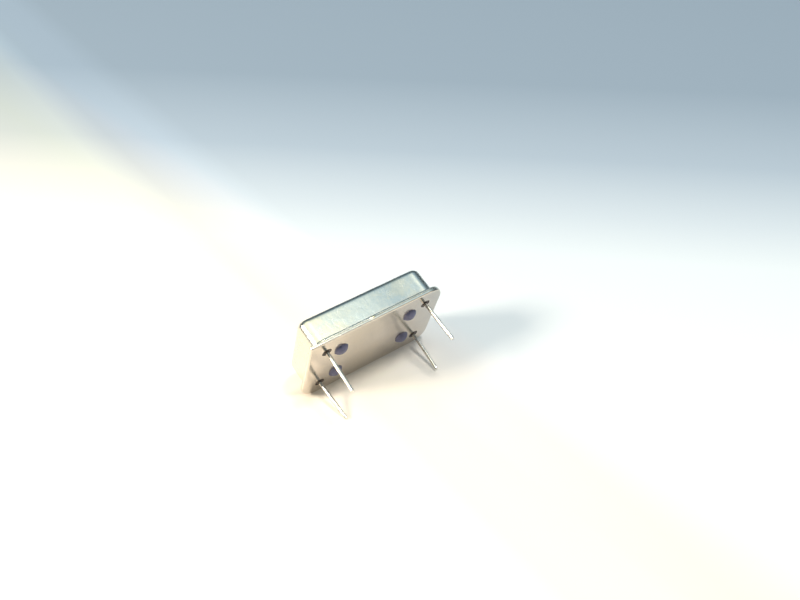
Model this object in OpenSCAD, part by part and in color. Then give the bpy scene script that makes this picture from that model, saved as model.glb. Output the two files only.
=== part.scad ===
// Crystal clock oscillator in a full-size metal can, with four leads on the footprint of a
// 14-pin dual in-line package. The can is a drawn steel cover, welded by its flange to a header
// plate that carries the leads in glass seals. Inside, a ceramic substrate carries the quartz blank
// and the oscillator circuit.
//
// Frame: the origin is the centre of the lead pattern, on the underside of the header. +Z goes up
// into the can, the leads point down, and X runs along the can. Seen from above, the leads count
// anticlockwise: 1 and 7 along the -Y side, 8 and 14 along the +Y side. The header's corner beside
// lead 1 is square, and its other three are round, as the can's flange is.

/* [Header] */
// Length of the header plate and of the can's flange
header_l = 20.2; // [18.8:0.1:25]
// Width of the header plate and of the can's flange
header_w = 12.6; // [11.6:0.1:16]
// Thickness of the header's rim, below the flange
rim_t = 0.45; // [0.3:0.05:0.7]
// Thickness of the header inside the can
header_t = 1.05; // [0.8:0.05:1.6]
// Radius of the pressed edge under the rim
rim_edge_r = 0.2; // [0.05:0.05:0.25]
// Radius of the header's one square corner, which marks lead 1
mark_r = 0.3; // [0.25:0.05:0.8]
// Gap between the raised middle of the header and the can's wall
header_gap = 0.1; // [0.05:0.05:0.3]

/* [Can] */
// Top of the can above the underside of the header
can_h = 4.75; // [4.4:0.05:8]
// Thickness of the drawn sheet
sheet_t = 0.3; // [0.2:0.02:0.36]
// Width of the flange, from the can's wall to its edge
flange_out = 0.8; // [0.7:0.05:1]
// Outer radius of the can's upright corners
corner_r = 1.35; // [1.2:0.05:2.2]
// Outer radius round the top of the can
crown_r = 0.8; // [0.5:0.05:1]
// Inner radius of the bend between the wall and the flange
foot_r = 0.15; // [0.1:0.05:0.3]

/* [Leads] */
// Distance between the leads along the can
pitch_x = 15.24; // [14:0.01:15.6]
// Distance between the leads across the can
pitch_y = 7.62; // [7:0.01:8]
// Diameter of the lead wire
lead_d = 0.48; // [0.4:0.02:0.56]
// Thickness of the plating on the bare stretch of a lead
plating_t = 0.01; // [0.005:0.005:0.02]
// Length of the leads below the header
lead_len = 6.1; // [3:0.1:12]
// Length of the leads above the substrate
lead_rise = 0.45; // [0.4:0.05:0.8]
// Radius of the rounded edge at the leads' tips
tip_r = 0.12; // [0.05:0.01:0.15]

/* [Glass] */
// Diameter of the glass seals
seal_d = 1.4; // [1.1:0.05:1.7]
// Depth of the hollow that surface tension leaves in a seal
seal_dish = 0.05; // [0.02:0.01:0.1]
// Diameter of a standoff bead where it sits on the header
bead_d = 2.04; // [1.6:0.02:2.3]
// Height of the standoff beads
bead_h = 0.6; // [0.4:0.05:0.8]
// Distance from a lead to its bead along the can
bead_in_x = 2.28; // [2:0.02:3.4]
// Distance from a lead to its bead across the can
bead_in_y = 1.04; // [0.8:0.02:1.6]

/* [Substrate] */
// Clear margin between the substrate and the can's wall
substrate_gap = 0.5; // [0.2:0.05:0.6]
// Thickness of the ceramic
substrate_t = 0.64; // [0.5:0.01:0.8]
// Gap round a lead in its hole through the ceramic
hole_gap = 0.08; // [0.05:0.01:0.12]
// Thickness of the printed conductor
track_t = 0.03; // [0.02:0.01:0.05]
// Width of the printed lines
track_w = 0.3; // [0.2:0.05:0.4]
// Diameter of the round pads at the leads
lead_pad_d = 1.3; // [1.2:0.05:1.5]
// Height of the solder at a lead
solder_h = 0.32; // [0.2:0.02:0.38]

/* [Quartz] */
// Diameter of the quartz blank
blank_d = 7.2; // [6:0.1:7.6]
// Thickness of the quartz blank
blank_t = 0.18; // [0.1:0.02:0.3]
// Centre of the quartz blank along the can
blank_x = -2.7; // [-2.9:0.1:-2.5]
// Height of the blank above the substrate
blank_lift = 1.1; // [0.8:0.05:1.4]
// Thickness of the clip metal
clip_t = 0.12; // [0.08:0.01:0.15]
// Width of a clip
clip_w = 1.2; // [0.8:0.1:1.6]

/* [Circuit] */
// Length of the oscillator chip
chip_l = 1.7; // [1.4:0.05:2]
// Width of the oscillator chip
chip_w = 1.5; // [1.2:0.05:1.8]
// Thickness of the oscillator chip
chip_t = 0.35; // [0.2:0.01:0.45]
// Diameter of the bond wires
wire_d = 0.05; // [0.03:0.01:0.06]

/* [Hidden] */
$fn = 64;

LEADS = [1, 7, 8, 14];
// How far a cutting tool runs past both faces
past = 1;

lead_r = lead_d / 2;
wire_r = lead_r - plating_t;
seal_r = seal_d / 2;

// Centres of the upright corners, which the can and the header share
corner_x = header_l / 2 - flange_out - corner_r;
corner_y = header_w / 2 - flange_out - corner_r;
header_corner_r = corner_r + flange_out;
platform_r = corner_r - sheet_t - header_gap;

// Substrate on the header, and what is stacked on it
substrate_l = 2 * (corner_x + corner_r - sheet_t - substrate_gap);
substrate_w = 2 * (corner_y + corner_r - sheet_t - substrate_gap);
substrate_top = header_t + substrate_t;
track_top = substrate_top + track_t;
lead_top = substrate_top + lead_rise;

// Solder fillet: clear edge of the pad, widths beyond the wire at the waist and the crest, and
// the share of its height where the waist is
solder_margin = 0.05;
solder_waist = 0.16;
solder_crest = 0.05;
solder_waist_at = 0.35;

// Quartz blank and its clips
blank_z = substrate_top + blank_lift;
blank_gap = 0.08;
clip_face = blank_d / 2 + blank_gap;
clip_foot = 0.8;
clip_bend_r = 0.12;
clip_over = 0.4;
clip_top = blank_z + blank_t + clip_over;
lug_reach = 0.5;
clip_pad_over = [0.3, 0.2];
clip_line_in = 0.5;
cement_r = 0.34;

// Chip, its pad and the fingers that its wires go to
chip_x = 4.9;
chip_y = 0.1;
chip_pad_over = 0.4;
finger_gap = 0.75;
finger_l = 0.5;
finger_w = 0.36;
finger_pitch = 0.62;
finger_y = chip_w / 2 + finger_gap;
ball_r = 0.06;
ball_h = 0.05;
bond_inset = 0.2;
bond_y = chip_w / 2 - bond_inset;
// Radius of a wire's arc, as a share of the straight line between its ends
loop_share = 0.6;

// Chip parts: length, width and height of each, their plated ends, and how far their printed
// pads reach past them
bypass_size = [2.0, 1.25, 0.9];
load_size = [1.0, 0.5, 0.5];
resistor_size = [1.6, 0.8, 0.45];
end_cap = 0.3;
end_cap_t = 0.02;
part_pad_over = [0.3, 0.1];

// Places of the chip parts: in from the substrate's long edges, and out from the clip
bypass_in = 1.1;
resistor_in = 0.95;
part_back = 0.2;
load_out = 1.7;
load_y = 1.9;
bypass_at = [chip_x - part_back, substrate_w / 2 - bypass_in];
resistor_at = [chip_x - part_back, -substrate_w / 2 + resistor_in];
load_x = blank_x + clip_face + load_out;
load_in_at = [load_x, load_y];
load_out_at = [load_x, -load_y];

// Printed lines along the long edges, and the ground line beside the load capacitors
rail_in = 0.45;
ground_out = 0.62;
rail_y = substrate_w / 2 - rail_in;
ground_x = load_x + ground_out;

// Where each lead stands
function lead_at(n) = [(n == 1 || n == 14 ? -1 : 1) * pitch_x / 2,
                       (n == 1 || n == 7 ? -1 : 1) * pitch_y / 2];

// Where each bead sits, inboard of its lead
function bead_at(n) = [lead_at(n).x - sign(lead_at(n).x) * bead_in_x,
                       lead_at(n).y - sign(lead_at(n).y) * bead_in_y];

// A quarter of a bend in sheet: centred on the origin, in the +X +Y quadrant
module quarter_bend(inner_r, t) {
    intersection() {
        difference() {
            circle(r = inner_r + t);
            circle(r = inner_r);
        }
        square(inner_r + t);
    }
}

// A quarter of a disc, in the +X +Y quadrant
module quarter_disc(r) {
    intersection() {
        circle(r = r);
        square(r);
    }
}

// Carries a section round the rounded outline that the can and the header share. The section's X
// is the distance out from the axis of a corner, and its Y is the height. The middle is filled
// between fill_z[0] and fill_z[1].
module round_the_outline(fill_z) {
    for (k = [0 : 3]) {
        turn = k * 90;
        sx = (k == 0 || k == 3) ? 1 : -1;
        sy = (k < 2) ? 1 : -1;
        run = (k % 2 == 0) ? 2 * corner_y : 2 * corner_x;
        out = (k % 2 == 0) ? corner_x : corner_y;
        translate([sx * corner_x, sy * corner_y, 0])
            rotate([0, 0, turn])
                rotate_extrude(angle = 90)
                    children();
        rotate([0, 0, turn])
            translate([out, run / 2, 0])
                rotate([90, 0, 0])
                    linear_extrude(height = run)
                        children();
    }
    translate([-corner_x, -corner_y, fill_z[0]])
        cube([2 * corner_x, 2 * corner_y, fill_z[1] - fill_z[0]]);
}

// Section of the drawn cover: top, rounded crown, wall, foot bend and flange
module cover_section() {
    flange_top = rim_t + sheet_t;
    translate([0, can_h - sheet_t])
        square([corner_r - crown_r, sheet_t]);
    translate([corner_r - crown_r, can_h - crown_r])
        quarter_bend(crown_r - sheet_t, sheet_t);
    translate([corner_r - sheet_t, flange_top + foot_r])
        square([sheet_t, can_h - crown_r - flange_top - foot_r]);
    translate([corner_r + foot_r, flange_top + foot_r])
        rotate(180)
            quarter_bend(foot_r, sheet_t);
    translate([corner_r + foot_r, rim_t])
        square([flange_out - foot_r, sheet_t]);
}

// Section of the header's thin rim, with its pressed lower edge
module rim_section(reach) {
    difference() {
        square([reach, rim_t]);
        translate([reach - rim_edge_r, 0])
            square(rim_edge_r);
    }
    translate([reach - rim_edge_r, rim_edge_r])
        rotate(-90)
            quarter_disc(rim_edge_r);
}

// Section of the header: the rim, and a thicker middle inside the can
module header_section() {
    rim_section(header_corner_r);
    translate([0, rim_t])
        square([platform_r, header_t - rim_t]);
}

// Fills out the rim's corner beside lead 1, so that it is square where the others are round
module marked_corner() {
    mark_x = header_l / 2 - mark_r;
    mark_y = header_w / 2 - mark_r;
    run_x = mark_x - corner_x;
    run_y = mark_y - corner_y;
    translate([-mark_x, -mark_y, 0]) {
        cube([run_x, run_y, rim_t]);
        rotate([0, 0, 180]) {
            rotate_extrude(angle = 90)
                rim_section(mark_r);
            rotate([90, 0, 0])
                linear_extrude(height = run_y)
                    rim_section(mark_r);
        }
        translate([run_x, 0, 0])
            rotate([90, 0, -90])
                linear_extrude(height = run_x)
                    rim_section(mark_r);
    }
}

module can_cover() {
    color("lightsteelblue")
        round_the_outline([can_h - sheet_t, can_h])
            cover_section();
}

module header_plate() {
    color("tan")
        difference() {
            union() {
                round_the_outline([0, header_t])
                    header_section();
                marked_corner();
            }
            for (n = LEADS)
                translate([lead_at(n).x, lead_at(n).y, -past])
                    cylinder(r = seal_r, h = header_t + 2 * past);
        }
}

// Round wire up through the seal and the substrate. Below the seal it is plated, with a rounded tip.
module lead(n) {
    tip = [for (a = [0 : 15 : 90])
        [lead_r - tip_r + tip_r * sin(a), tip_r - lead_len - tip_r * cos(a)]];
    color("ivory")
        translate([lead_at(n).x, lead_at(n).y, 0])
            rotate_extrude()
                polygon(concat([[0, -lead_len]], tip,
                               [[lead_r, 0], [wire_r, 0], [wire_r, lead_top], [0, lead_top]]));
}

// Glass between lead and header, hollowed a little on the underside
module glass_seal(n) {
    mid_r = (wire_r + seal_r) / 2;
    half = (seal_r - wire_r) / 2;
    dish = [for (k = [-6 : 6]) [mid_r + half * k / 6, seal_dish * (1 - pow(k / 6, 2))]];
    color([0.16, 0.11, 0.08])
        translate([lead_at(n).x, lead_at(n).y, 0])
            rotate_extrude()
                polygon(concat(dish, [[seal_r, header_t], [wire_r, header_t]]));
}

// Dome of glass fused to the underside of the header
module standoff_bead(n) {
    bead_r = bead_d / 2;
    dome_r = (pow(bead_r, 2) + pow(bead_h, 2)) / (2 * bead_h);
    color([0.25, 0.25, 0.36])
        translate([bead_at(n).x, bead_at(n).y, 0])
            intersection() {
                translate([0, 0, dome_r - bead_h])
                    sphere(r = dome_r);
                translate([-bead_d, -bead_d, -bead_d])
                    cube([2 * bead_d, 2 * bead_d, bead_d]);
            }
}

module ceramic_substrate() {
    color("white")
        translate([0, 0, header_t])
            difference() {
                translate([-substrate_l / 2, -substrate_w / 2, 0])
                    cube([substrate_l, substrate_w, substrate_t]);
                for (n = LEADS)
                    translate([lead_at(n).x, lead_at(n).y, -past])
                        cylinder(r = wire_r + hole_gap, h = substrate_t + 2 * past);
            }
}

// A printed patch, centred on a point
module patch(at, size) {
    translate([at.x - size.x / 2, at.y - size.y / 2])
        square(size);
}

// A printed line through points that step along X or Y
module line(points) {
    for (k = [0 : len(points) - 2]) {
        a = points[k];
        b = points[k + 1];
        patch((a + b) / 2, [abs(a.x - b.x) + track_w, abs(a.y - b.y) + track_w]);
    }
}

// The two pads of a chip part that lies along X, or along Y when upright
module part_pads(at, size, upright = false) {
    for (s = [-1, 1]) {
        shift = s * (size.x - end_cap) / 2;
        pad = [end_cap, size.y] + part_pad_over;
        patch(upright ? at + [0, shift] : at + [shift, 0], upright ? [pad.y, pad.x] : pad);
    }
}

// Point of bond finger k (0 to 2) on the +Y or -Y side of the chip
function finger_at(k, side) = [chip_x + (k - 1) * finger_pitch, chip_y + side * (finger_y + finger_l / 2)];

module conductor_tracks() {
    load_pad = (load_size.x - end_cap) / 2;
    bypass_pad = (bypass_size.x - end_cap) / 2;
    resistor_pad = (resistor_size.x - end_cap) / 2;
    clip_pad_x = clip_face + clip_foot / 2;
    clip_pad = [clip_foot, clip_w] + clip_pad_over;
    right_clip = [blank_x + clip_pad_x, 0];
    left_clip = [blank_x - clip_pad_x, 0];
    left_clip_line = blank_x - clip_face + clip_line_in;
    supply_y = finger_at(0, 1).y + finger_l;
    color("goldenrod")
        translate([0, 0, substrate_top])
            linear_extrude(height = track_t)
                difference() {
                    union() {
                        for (n = LEADS)
                            translate(lead_at(n))
                                circle(d = lead_pad_d);
                        patch([chip_x, chip_y], [chip_l + chip_pad_over, chip_w + chip_pad_over]);
                        for (side = [-1, 1])
                            for (k = [0 : 2])
                                patch(finger_at(k, side), [finger_w, finger_l]);
                        patch(right_clip, clip_pad);
                        patch(left_clip, clip_pad);
                        part_pads(bypass_at, bypass_size);
                        part_pads(resistor_at, resistor_size);
                        part_pads(load_in_at, load_size, true);
                        part_pads(load_out_at, load_size, true);
                        // supply: lead 14 along the +Y edge to the bypass capacitor, then to a finger
                        line([lead_at(14), [lead_at(14).x, rail_y], [bypass_at.x - bypass_pad, rail_y],
                              [bypass_at.x - bypass_pad, supply_y], [finger_at(0, 1).x, supply_y],
                              finger_at(0, 1)]);
                        // output: lead 8 to the last finger on the +Y side
                        line([lead_at(8), [lead_at(8).x, finger_at(2, 1).y], finger_at(2, 1)]);
                        // ground: lead 7 to the pad under the chip
                        line([lead_at(7), [lead_at(7).x, chip_y], [chip_x, chip_y]]);
                        // enable: lead 1 along the -Y edge, through the resistor, to a finger
                        line([lead_at(1), [lead_at(1).x, -rail_y], [resistor_at.x - resistor_pad, -rail_y],
                              [resistor_at.x - resistor_pad, resistor_at.y]]);
                        line([resistor_at + [resistor_pad, 0], [finger_at(2, -1).x, resistor_at.y],
                              finger_at(2, -1)]);
                        // crystal: each clip to its load capacitor
                        line([right_clip, [load_in_at.x, 0], load_in_at - [0, load_pad]]);
                        line([left_clip, [left_clip_line, 0], [left_clip_line, -rail_y + 2 * track_w],
                              [load_out_at.x, -rail_y + 2 * track_w], load_out_at - [0, load_pad],
                              [finger_at(0, -1).x, load_out_at.y - load_pad], finger_at(0, -1)]);
                        // ground: the far ends of the load capacitors
                        line([load_in_at + [0, load_pad], [ground_x, load_in_at.y + load_pad],
                              [ground_x, chip_y], [chip_x, chip_y]]);
                        line([load_out_at + [0, load_pad], [ground_x, load_out_at.y + load_pad],
                              [ground_x, chip_y]]);
                    }
                    for (n = LEADS)
                        translate(lead_at(n))
                            circle(r = wire_r + hole_gap);
                }
}

// Solder fillet round a lead, on its pad
module solder_joint(n) {
    color("silver")
        translate([lead_at(n).x, lead_at(n).y, track_top])
            rotate_extrude()
                polygon([[wire_r, 0], [lead_pad_d / 2 - solder_margin, 0],
                         [wire_r + solder_waist, solder_h * solder_waist_at],
                         [wire_r + solder_crest, solder_h], [wire_r, solder_h]]);
}

module quartz_blank() {
    color("lightcyan")
        translate([blank_x, 0, blank_z])
            cylinder(d = blank_d, h = blank_t, $fn = 96);
}

// Section of a clip: foot, bend, riser and the lug that the blank lies on
module clip_section() {
    base = track_top;
    bend = clip_bend_r + clip_t;
    translate([bend, base])
        square([clip_foot - bend, clip_t]);
    translate([bend, base + bend])
        rotate(180)
            quarter_bend(clip_bend_r, clip_t);
    translate([0, base + bend])
        square([clip_t, clip_top - base - bend]);
    translate([-lug_reach, blank_z - clip_t])
        square([lug_reach, clip_t]);
}

// A clip at one end of the blank: side is -1 for the left and 1 for the right
module crystal_clip(side) {
    color("gold")
        translate([blank_x + side * clip_face, side * clip_w / 2, 0])
            rotate([0, 0, side > 0 ? 0 : 180])
                rotate([90, 0, 0])
                    linear_extrude(height = clip_w)
                        clip_section();
}

// Conductive cement in the corner between the blank and a clip
module cement_dot(side) {
    color("dimgray")
        translate([blank_x + side * clip_face, 0, blank_z + blank_t])
            intersection() {
                sphere(r = cement_r, $fn = 32);
                translate([side > 0 ? -cement_r : 0, -cement_r, 0])
                    cube([cement_r, 2 * cement_r, cement_r]);
            }
}

module oscillator_chip() {
    color([0.25, 0.27, 0.3])
        translate([chip_x - chip_l / 2, chip_y - chip_w / 2, track_top])
            cube([chip_l, chip_w, chip_t]);
}

// A chip part: a body with plated ends that stand proud of it
module chip_part(at, size, upright = false) {
    translate([at.x, at.y, track_top])
        rotate([0, 0, upright ? 90 : 0]) {
            translate([-size.x / 2 + end_cap_t, -size.y / 2 + end_cap_t, end_cap_t])
                cube([size.x - 2 * end_cap_t, size.y - 2 * end_cap_t, size.z - 2 * end_cap_t]);
            for (s = [0, 1])
                translate([s * (size.x - end_cap) - size.x / 2, -size.y / 2, 0])
                    cube([end_cap, size.y, size.z]);
        }
}

module bypass_capacitor() {
    color("peru")
        chip_part(bypass_at, bypass_size);
}

module load_capacitor_in() {
    color("tan")
        chip_part(load_in_at, load_size, true);
}

module load_capacitor_out() {
    color("tan")
        chip_part(load_out_at, load_size, true);
}

module enable_resistor() {
    color("black")
        chip_part(resistor_at, resistor_size);
}

// One bond wire in the XZ plane: a ball on the chip at the origin, and an arc that comes down by
// drop to a stitch at reach
module bond_wire(reach, drop) {
    chord = norm([reach, drop]);
    loop_r = loop_share * chord;
    tilt = atan2(-drop, reach);
    half_angle = asin(chord / 2 / loop_r);
    rise = loop_r * cos(half_angle);
    cylinder(r = ball_r, h = ball_h, $fn = 24);
    translate([reach, 0, -drop])
        cylinder(r = ball_r, h = ball_h, $fn = 24);
    translate([reach / 2 + rise * sin(tilt), 0, ball_h / 2 - drop / 2 - rise * cos(tilt)])
        rotate([90, 0, 0])
            rotate([0, 0, 90 + tilt - half_angle])
                rotate_extrude(angle = 2 * half_angle)
                    translate([loop_r, 0])
                        circle(d = wire_d, $fn = 16);
}

// Three gold wires on each side of the chip, each from the chip to a finger
module bond_wires() {
    color("gold")
        for (side = [-1, 1])
            for (k = [0 : 2])
                translate([finger_at(k, side).x, chip_y + side * bond_y, track_top + chip_t])
                    rotate([0, 0, side * 90])
                        bond_wire(finger_gap + bond_inset + finger_l / 2, chip_t);
}

can_cover();
header_plate();
lead(1);  // lead_1
lead(7);  // lead_7
lead(8);  // lead_8
lead(14);  // lead_14
glass_seal(1);  // glass_seal_1
glass_seal(7);  // glass_seal_7
glass_seal(8);  // glass_seal_8
glass_seal(14);  // glass_seal_14
standoff_bead(1);  // standoff_bead_1
standoff_bead(7);  // standoff_bead_7
standoff_bead(8);  // standoff_bead_8
standoff_bead(14);  // standoff_bead_14
ceramic_substrate();
conductor_tracks();
solder_joint(1);  // solder_joint_1
solder_joint(7);  // solder_joint_7
solder_joint(8);  // solder_joint_8
solder_joint(14);  // solder_joint_14
quartz_blank();
crystal_clip(-1);  // crystal_clip_left
crystal_clip(1);  // crystal_clip_right
cement_dot(-1);  // cement_dot_left
cement_dot(1);  // cement_dot_right
oscillator_chip();
bypass_capacitor();
load_capacitor_in();
load_capacitor_out();
enable_resistor();
bond_wires();
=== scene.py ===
"""Crystal clock oscillator in a full-size metal can: the finish of each piece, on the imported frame."""
import math

import bmesh
import bpy
from mathutils import Matrix, Vector, noise


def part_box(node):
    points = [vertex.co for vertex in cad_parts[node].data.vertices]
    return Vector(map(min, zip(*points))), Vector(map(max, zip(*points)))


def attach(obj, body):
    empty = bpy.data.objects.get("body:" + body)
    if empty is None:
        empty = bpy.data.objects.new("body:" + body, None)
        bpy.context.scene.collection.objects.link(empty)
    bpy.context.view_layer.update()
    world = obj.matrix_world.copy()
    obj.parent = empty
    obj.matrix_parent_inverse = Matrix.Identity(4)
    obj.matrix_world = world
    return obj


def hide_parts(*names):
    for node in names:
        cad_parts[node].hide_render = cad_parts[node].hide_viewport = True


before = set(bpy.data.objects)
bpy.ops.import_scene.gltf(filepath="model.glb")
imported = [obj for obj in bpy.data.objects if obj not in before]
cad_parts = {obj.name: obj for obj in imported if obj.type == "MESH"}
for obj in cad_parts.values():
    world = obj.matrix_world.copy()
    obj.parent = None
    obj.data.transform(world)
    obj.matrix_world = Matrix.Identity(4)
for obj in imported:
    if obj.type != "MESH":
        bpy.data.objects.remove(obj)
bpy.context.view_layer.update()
MM = 0.001
scene = bpy.context.scene
scene.view_settings.view_transform = "Standard"

# ---- Camera ---------------------------------------------------------------------------------
# The part lies on its side, and the camera looks down at it from its lower left, so that the
# underside of the header and the four leads face the lens.
looking = Vector((0.4594, 0.8091, 0.3666)).normalized()
upright = Vector((0.3864, -0.5536, 0.7377))
to_right = looking.cross(upright).normalized()
standing = Vector((-42.78, -87.90, -36.04)) * MM

camera = bpy.data.objects.new("camera", bpy.data.cameras.new("camera"))
camera.matrix_world = Matrix.Translation(standing) @ Matrix(
    (to_right, to_right.cross(looking), -looking)).transposed().to_4x4()
camera.data.sensor_width = 36
camera.data.lens = 36
camera.data.clip_start = 5 * MM
camera.data.clip_end = 10
scene.collection.objects.link(camera)
scene.camera = camera

# ---- Floor ----------------------------------------------------------------------------------
# A sheet of pale paper. The part rests on it by the rolled long edge of its header and by the
# tips of leads 8 and 14, so the sheet is the plane that touches those two round edges.
RIM_EDGE_R = 0.2 * MM
TIP_R = 0.12 * MM
FLOOR_SIZE = 900 * MM
# Painted shade darkens the paper from near to far and a painted light tint runs from near left to far
# right; the tint and the strength of its glow run from left to right
TONE_REACH = 100 * MM
TONE_SLANT = 0.12
PAINTED_FAR_SHADE = ((0, (0.92, 0.92, 0.92)), (0.3, (0.84, 0.87, 0.89)), (0.42, (0.68, 0.73, 0.78)),
               (0.62, (0.46, 0.53, 0.61)), (0.95, (0.33, 0.40, 0.48)))
LIGHT_TINT_SPAN = (-20 * MM, 22 * MM)
PAINTED_LIGHT_TINTS = ((0, (1, 0.90, 0.82)), (0.5, (1, 0.935, 0.81)), (0.72, (1, 0.95, 0.88)),
               (0.9, (1, 0.99, 0.975)), (1, (0.965, 0.995, 1)))
GLOW_TINT_SPAN = (-9 * MM, 0)
GLOW_TINTS = ((0, (1, 0.98, 0.78)), (1, (1, 1, 1)))
GLOW_SPAN = (-9 * MM, 11 * MM)
GLOW_TONES = ((0, (0.40,) * 3), (0.3, (0.12,) * 3), (0.7, (0.11,) * 3), (1, (0, 0, 0)))
PAPER_LIFT = 0.10
# Where the shade under the part begins to fade and has gone: in front of the line of contact,
# behind it, and slantwise past its left end
SHADE_IN_FRONT = (2.0 * MM, 3.6 * MM)
SHADE_AT_BACK = (0.6 * MM, 2.2 * MM)
SHADE_AT_LEFT = (8.8 * MM, 9.8 * MM)

header_low, header_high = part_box("header_plate")
lead_low, lead_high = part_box("lead_8")
rim_centre = Vector((0, header_high.y - RIM_EDGE_R, header_low.z + RIM_EDGE_R))
tip_centre = Vector((0, lead_high.y - TIP_R, lead_low.z + TIP_R))
down_leads = tip_centre - rim_centre
lean = math.asin((RIM_EDGE_R - TIP_R) / down_leads.length)
floor_up = Matrix.Rotation(-lean, 3, "X") @ Vector((0, down_leads.z, -down_leads.y)).normalized()
floor_level = floor_up.dot(rim_centre) - RIM_EDGE_R
floor_across = to_right - floor_up * to_right.dot(floor_up)
floor_across.normalize()
floor_away = floor_up.cross(floor_across)
along = Vector((1, 0, 0))
behind = floor_up.cross(along)
contact = behind.dot(rim_centre)
floor_turn = Matrix((floor_across, floor_away, floor_up)).transposed().to_4x4()
floor_place = Matrix.Translation(floor_up * floor_level) @ floor_turn


def new_tree(name):
    """A new material, its node tree and its Principled shader."""
    made = bpy.data.materials.new(name)
    made.use_nodes = True
    return made, made.node_tree, made.node_tree.nodes["Principled BSDF"]


def feed(tree, value, socket):
    """Links a socket to another node's output, or gives it a plain value."""
    if isinstance(value, bpy.types.NodeSocket):
        tree.links.new(value, socket)
    else:
        socket.default_value = value


def add(tree, kind, **values):
    """A new node of that kind in the tree, with these values or outputs on its properties or sockets."""
    node = tree.nodes.new("ShaderNode" + kind)
    for name, value in values.items():
        if name in node.bl_rna.properties:
            setattr(node, name, value)
    for name, value in values.items():
        if name not in node.bl_rna.properties:
            feed(tree, value, node.inputs[name.replace("_", " ")])
    return node


def reckon(tree, operation, *values, **settings):
    """The result of a Math node on these values or outputs."""
    node = add(tree, "Math", operation=operation, **settings)
    for value, socket in zip(values, node.inputs):
        feed(tree, value, socket)
    return node.outputs["Value"]


def gauge(tree, operation, first, second):
    """A number measured between two vectors, such as their dot product or their distance."""
    node = add(tree, "VectorMath", operation=operation)
    feed(tree, first, node.inputs[0])
    feed(tree, second, node.inputs[1])
    return node.outputs["Value"]


def spread(tree, value, start=0, end=1, least=0, most=1, **settings):
    """A value that goes from least, where another is at start, to most, where it is at end."""
    node = add(tree, "MapRange", clamp=True, From_Min=start, From_Max=end, To_Min=least, To_Max=most,
               Value=value, **settings)
    return node.outputs["Result"]


# A Mix node has sockets for each kind of value. These are the ones that take and give a colour.
MIX_BASE = 6
MIX_TOP = 7
MIX_RESULT = 2


def mix_colours(tree, kind, share, base, top):
    """A base colour with a top colour mixed, added or multiplied in, by that share."""
    node = add(tree, "Mix", data_type="RGBA", blend_type=kind, Factor=share)
    feed(tree, base, node.inputs[MIX_BASE])
    feed(tree, top, node.inputs[MIX_TOP])
    return node.outputs[MIX_RESULT]


def ramp(tree, value, *stops):
    """The colour that a value gives, through these (position, colour) stops."""
    node = add(tree, "ValToRGB")
    band = node.color_ramp
    while len(band.elements) < len(stops):
        band.elements.new(0.5)
    for element, (position, colour) in zip(band.elements, stops):
        element.position = position
        element.color = (*colour, 1)
    feed(tree, value, node.inputs["Fac"])
    return node.outputs["Color"]


def here(tree):
    """The place on the part, in object coordinates."""
    return add(tree, "TexCoord").outputs["Object"]


def along_line(tree, direction, start, end):
    """How far a point lies along a direction, as a share of the way from start to end."""
    return spread(tree, gauge(tree, "DOT_PRODUCT", here(tree), direction), start, end)


paper, tree, shader = new_tree("pale_paper")
shader.inputs["Roughness"].default_value = 0.9
shader.inputs["Specular IOR Level"].default_value = 0.2
# Painted shade: the paper darkens to blue-grey from near to far
far_shade = ramp(tree, along_line(tree, floor_away + TONE_SLANT * floor_across, 0, TONE_REACH), *PAINTED_FAR_SHADE)
# Painted light: a warm tint at near left that turns cool toward far right
light_tint = ramp(tree, along_line(tree, floor_away + floor_across, *LIGHT_TINT_SPAN), *PAINTED_LIGHT_TINTS)
paper_with_painted_light = mix_colours(tree, "MULTIPLY", 1.0, far_shade, light_tint)
tree.links.new(paper_with_painted_light, shader.inputs["Base Color"])

# The paper glows faintly where the camera or a reflection sees it, and more where it is clear of
# the shade under the part. Its glow lights nothing.
glow_tint = ramp(tree, along_line(tree, along, *GLOW_TINT_SPAN), *GLOW_TINTS)
glow_colour = mix_colours(tree, "MULTIPLY", 1.0, paper_with_painted_light, glow_tint)
tree.links.new(glow_colour, shader.inputs["Emission Color"])
rays = add(tree, "LightPath").outputs
sharp_ray = reckon(tree, "MAXIMUM", rays["Is Glossy Ray"], rays["Is Transmission Ray"])
seen = reckon(tree, "MAXIMUM", rays["Is Camera Ray"], sharp_ray)
in_front = along_line(tree, -behind, *(reach - contact for reach in SHADE_IN_FRONT))
at_back = along_line(tree, behind, *(contact + reach for reach in SHADE_AT_BACK))
at_left = along_line(tree, -behind - along, *(reach - contact for reach in SHADE_AT_LEFT))
clear_of_part = reckon(tree, "MAXIMUM", in_front, reckon(tree, "MAXIMUM", at_left, at_back))
glow = ramp(tree, along_line(tree, along, *GLOW_SPAN), *GLOW_TONES)
lift = reckon(tree, "MULTIPLY_ADD", clear_of_part, glow, PAPER_LIFT)
tree.links.new(reckon(tree, "MULTIPLY", seen, lift), shader.inputs["Emission Strength"])

# From below the sheet lets the view through
clear = add(tree, "BsdfTransparent")
two_faced = add(tree, "MixShader")
output = tree.nodes["Material Output"]
tree.links.new(add(tree, "NewGeometry").outputs["Backfacing"], two_faced.inputs["Fac"])
tree.links.new(shader.outputs["BSDF"], two_faced.inputs[1])
tree.links.new(clear.outputs["BSDF"], two_faced.inputs[2])
tree.links.new(two_faced.outputs["Shader"], output.inputs["Surface"])

bm = bmesh.new()
bmesh.ops.create_grid(bm, x_segments=1, y_segments=1, size=FLOOR_SIZE, matrix=floor_place)
sheet = bpy.data.objects.new("paper_floor", bpy.data.meshes.new("paper_floor"))
bm.to_mesh(sheet.data)
bm.free()
sheet.data.materials.append(paper)
scene.collection.objects.link(sheet)

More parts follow.
